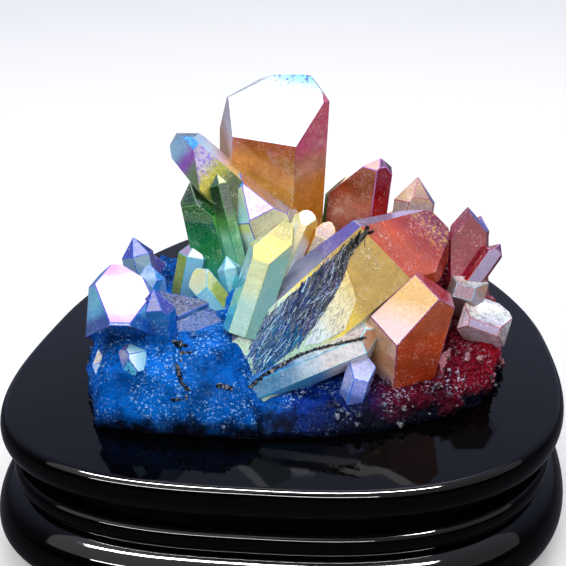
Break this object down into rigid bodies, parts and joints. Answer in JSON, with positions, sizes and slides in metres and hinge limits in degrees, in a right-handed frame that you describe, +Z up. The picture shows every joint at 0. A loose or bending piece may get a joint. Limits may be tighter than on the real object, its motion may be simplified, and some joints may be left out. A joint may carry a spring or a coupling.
{
  "type": "aura quartz cluster",
  "caption": "Cluster of rainbow-coated quartz points grown from a druzy base, resting flat on a moulded, black lacquered wood stand with a rounded outline.",
  "frame": {"origin": "middle of the stand's footprint, on the surface it stands on", "axes": "+Z up, +X to the viewer's right and -Y towards the viewer in the picture's main view"},
  "size_m": [0.1422, 0.139, 0.1042],
  "materials": {
    "aura_quartz": "clear quartz under a thin metallic rainbow coating: blue at the left and foot, then teal, green, gold and orange to crimson at the right, with glossy faces",
    "black_lacquer": "wood under glossy black lacquer, mirror-like with faint waves"
  },
  "bodies": {
    "root": {"quartz_cluster": "aura_quartz", "display_stand": "black_lacquer"}
  },
  "joints": []
}
